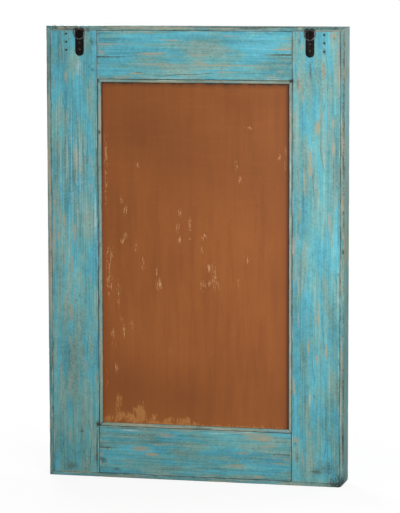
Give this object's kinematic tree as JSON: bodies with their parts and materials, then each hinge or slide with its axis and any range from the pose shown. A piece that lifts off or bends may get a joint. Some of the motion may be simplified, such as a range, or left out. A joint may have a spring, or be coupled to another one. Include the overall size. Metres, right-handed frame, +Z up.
{
  "type": "shutter mirror",
  "caption": "Wall mirror behind a pair of louvred shutters, in a deep rectangular frame of distressed painted boards with two strap ring hangers on the back.",
  "frame": {"origin": "middle of the bottom edge of the back face, where the frame meets the wall", "axes": "+Z up; -Y is the way the mirror and shutters face and +Y points into the wall; +X is to the right as seen from the front"},
  "size_m": [0.6096, 0.0802, 0.9144],
  "materials": {
    "turquoise_paint": "distressed turquoise paint with a dark glaze, rubbed through along the grain",
    "edge_paint": "worn turquoise paint, rubbed to the wood on its arrises",
    "brown_panel": "smooth hardboard stained brown, with pale scuffs",
    "bare_wood": "bare",
    "cardboard": "plain",
    "mirror": "silvered glass",
    "bronze_black": "bronze-black, satin, slightly rubbed",
    "steel": "plain"
  },
  "bodies": {
    "root": {"back_stile_left": "turquoise_paint", "back_stile_right": "turquoise_paint", "back_rail_top": "turquoise_paint", "back_rail_bottom": "turquoise_paint", "front_stile_left": "turquoise_paint", "front_stile_right": "turquoise_paint", "front_rail_top": "turquoise_paint", "front_rail_bottom": "turquoise_paint", "edge_board_left": "edge_paint", "edge_board_right": "edge_paint", "edge_board_top": "edge_paint", "edge_board_bottom": "edge_paint", "corner_dowels": "bare_wood", "bead_left": "turquoise_paint", "bead_right": "turquoise_paint", "bead_top": "turquoise_paint", "bead_bottom": "turquoise_paint", "backing_panel": "brown_panel", "packing_sheet": "cardboard", "mirror_glass": "mirror", "stop_left": "turquoise_paint", "stop_right": "turquoise_paint", "stop_top": "turquoise_paint", "stop_bottom": "turquoise_paint", "catch_magnets": "steel", "hanger_strap_left": "bronze_black", "hanger_strap_right": "bronze_black", "hanger_screws": "bronze_black", "hinge_frame_leaf_left_top": "bronze_black", "hinge_frame_leaf_left_bottom": "bronze_black", "hinge_frame_leaf_right_top": "bronze_black", "hinge_frame_leaf_right_bottom": "bronze_black", "hinge_pins": "steel", "hinge_frame_screws": "bronze_black"},
    "shutter_left": {"hinge_door_leaf_left_top": "bronze_black", "hinge_door_leaf_left_bottom": "bronze_black", "hinge_door_screws_left": "bronze_black", "shutter_hinge_stile_left": "turquoise_paint", "shutter_meeting_stile_left": "turquoise_paint", "shutter_top_rail_left": "turquoise_paint", "shutter_bottom_rail_left": "turquoise_paint", "louvres_left": "turquoise_paint", "knob_left": "bronze_black", "knob_screw_left": "steel", "strike_left": "steel"},
    "ring_left": {"hang_ring_left": "bronze_black"},
    "shutter_right": {"hinge_door_leaf_right_top": "bronze_black", "hinge_door_leaf_right_bottom": "bronze_black", "hinge_door_screws_right": "bronze_black", "shutter_hinge_stile_right": "turquoise_paint", "shutter_meeting_stile_right": "turquoise_paint", "shutter_top_rail_right": "turquoise_paint", "shutter_bottom_rail_right": "turquoise_paint", "louvres_right": "turquoise_paint", "knob_right": "bronze_black", "knob_screw_right": "steel", "strike_right": "steel"},
    "ring_right": {"hang_ring_right": "bronze_black"}
  },
  "joints": [
    {"name": "shutter_left_hinge", "type": "hinge", "parent": "root", "child": "shutter_left", "pos_m": [-0.1882, -0.0541, 0.4572], "axis": [0, 0, -1], "range_deg": [0, 180]},
    {"name": "shutter_right_hinge", "type": "hinge", "parent": "root", "child": "shutter_right", "pos_m": [0.1882, -0.0541, 0.4572], "axis": [0, 0, 1], "range_deg": [0, 180]},
    {"name": "ring_left_swing", "type": "hinge", "parent": "root", "child": "ring_left", "pos_m": [-0.235, 0.0033, 0.908], "axis": [1, 0, 0], "range_deg": [0, 180]},
    {"name": "ring_right_swing", "type": "hinge", "parent": "root", "child": "ring_right", "pos_m": [0.235, 0.0033, 0.908], "axis": [1, 0, 0], "range_deg": [0, 180]}
  ]
}
